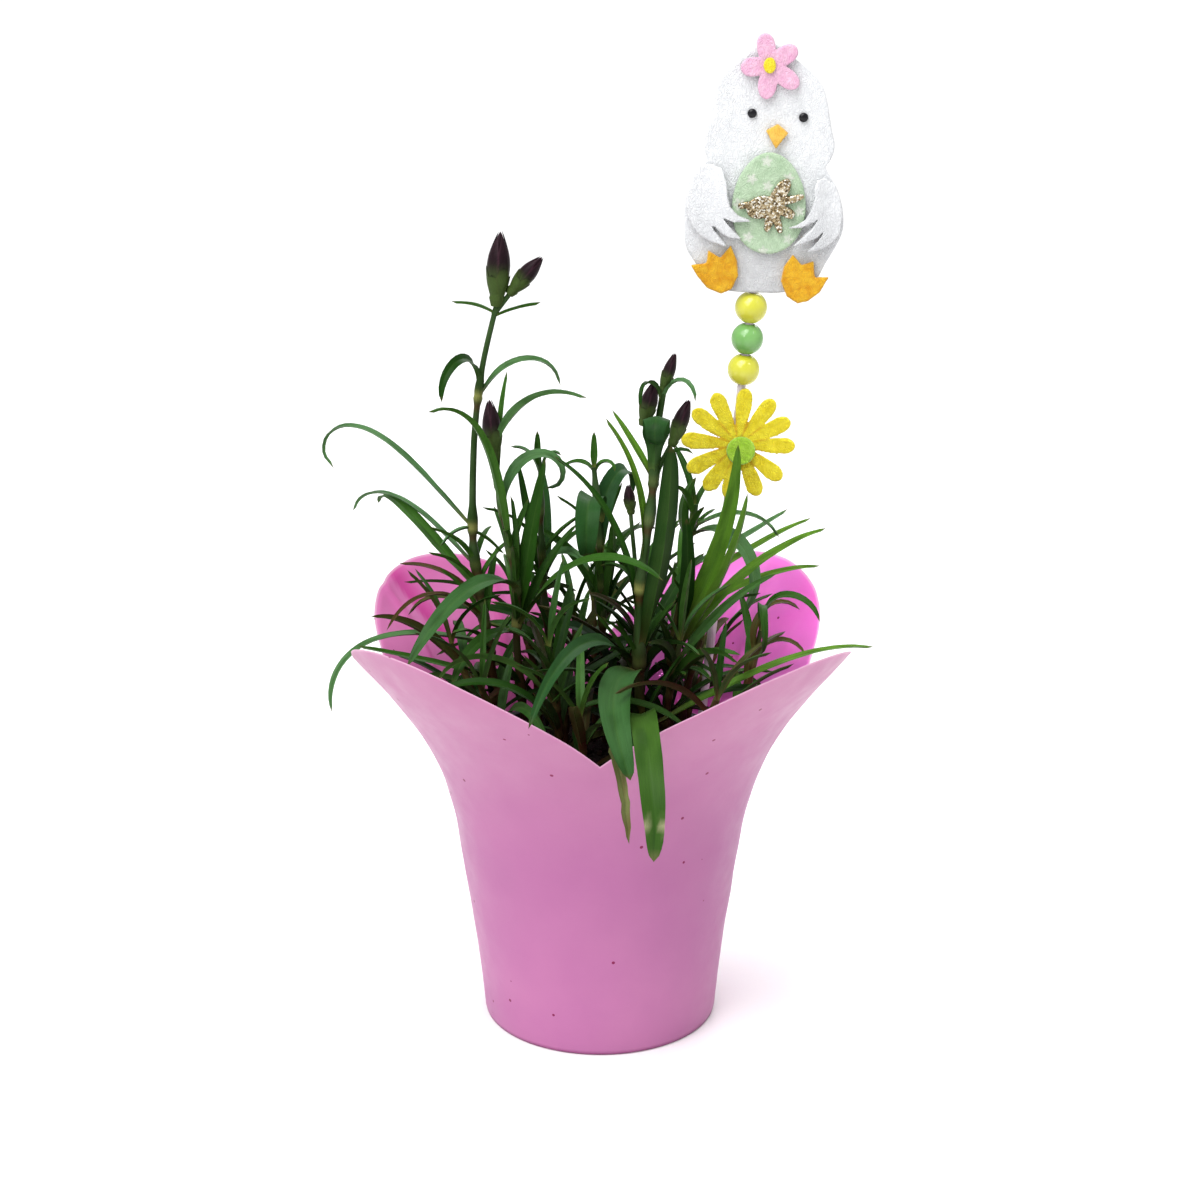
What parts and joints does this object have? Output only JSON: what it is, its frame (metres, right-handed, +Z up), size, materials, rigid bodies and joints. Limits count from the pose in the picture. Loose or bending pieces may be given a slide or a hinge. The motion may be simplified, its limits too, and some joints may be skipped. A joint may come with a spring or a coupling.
{
  "type": "potted dianthus plant",
  "caption": "Leafy dianthus plant with dark flower buds in a nursery pot, inside a flared pink pot cover with a petal rim, with a felt chick pick on a stick.",
  "frame": {"origin": "centre of the pot cover's base, on the face it stands on", "axes": "+Z up, +X to the right, -Y to the front of the pot, where the cover's front notch and the felt chick face"},
  "size_m": [0.187, 0.187, 0.3337],
  "materials": {
    "cover_plastic": "translucent pink film, satin",
    "pot_plastic": "black, matt",
    "soil": "dark crumbly peat",
    "leaf": "waxy green leaf",
    "bud": "dark purple bud scales, satin",
    "stick_wood": "white paint",
    "bead_yellow": "gloss",
    "bead_green": "gloss",
    "felt_yellow": "felt",
    "felt_lime": "felt",
    "felt_white": "felt",
    "felt_mint": "printed felt",
    "glitter": "gold glitter felt",
    "felt_orange": "felt",
    "eye_black": "gloss",
    "felt_pink": "felt",
    "flower_centre": "felt"
  },
  "bodies": {
    "root": {"pot_cover": "cover_plastic", "nursery_pot": "pot_plastic", "potting_soil": "soil", "flower_stem_1": "leaf", "flower_stem_2": "leaf", "flower_stem_3": "leaf", "flower_stem_4": "leaf", "leafy_shoot_middle": "leaf", "leafy_shoot_centre": "leaf", "leafy_shoot_right": "leaf", "leafy_shoot_right_back": "leaf", "leafy_shoot_far_right": "leaf", "leafy_shoot_01": "leaf", "leafy_shoot_02": "leaf", "leafy_shoot_03": "leaf", "leafy_shoot_04": "leaf", "leafy_shoot_05": "leaf", "leafy_shoot_06": "leaf", "leafy_shoot_07": "leaf", "leafy_shoot_08": "leaf", "leafy_shoot_09": "leaf", "leafy_shoot_10": "leaf", "leafy_shoot_11": "leaf", "leafy_shoot_12": "leaf", "leafy_shoot_13": "leaf", "leafy_shoot_14": "leaf", "leafy_shoot_15": "leaf", "bud_1": "bud", "bud_2": "bud", "bud_3": "bud", "bud_4": "bud", "bud_5": "bud", "bud_6": "bud", "bud_7": "bud", "pick_stick": "stick_wood", "bead_1": "bead_yellow", "bead_2": "bead_green", "bead_3": "bead_yellow", "daisy": "felt_yellow", "daisy_centre": "felt_lime", "chick_body": "felt_white", "egg": "felt_mint", "bow": "glitter", "wing_left": "felt_white", "wing_right": "felt_white", "foot_left": "felt_orange", "foot_right": "felt_orange", "beak": "felt_orange", "eye_left": "eye_black", "eye_right": "eye_black", "head_flower": "felt_pink", "head_flower_centre": "flower_centre"}
  },
  "joints": []
}
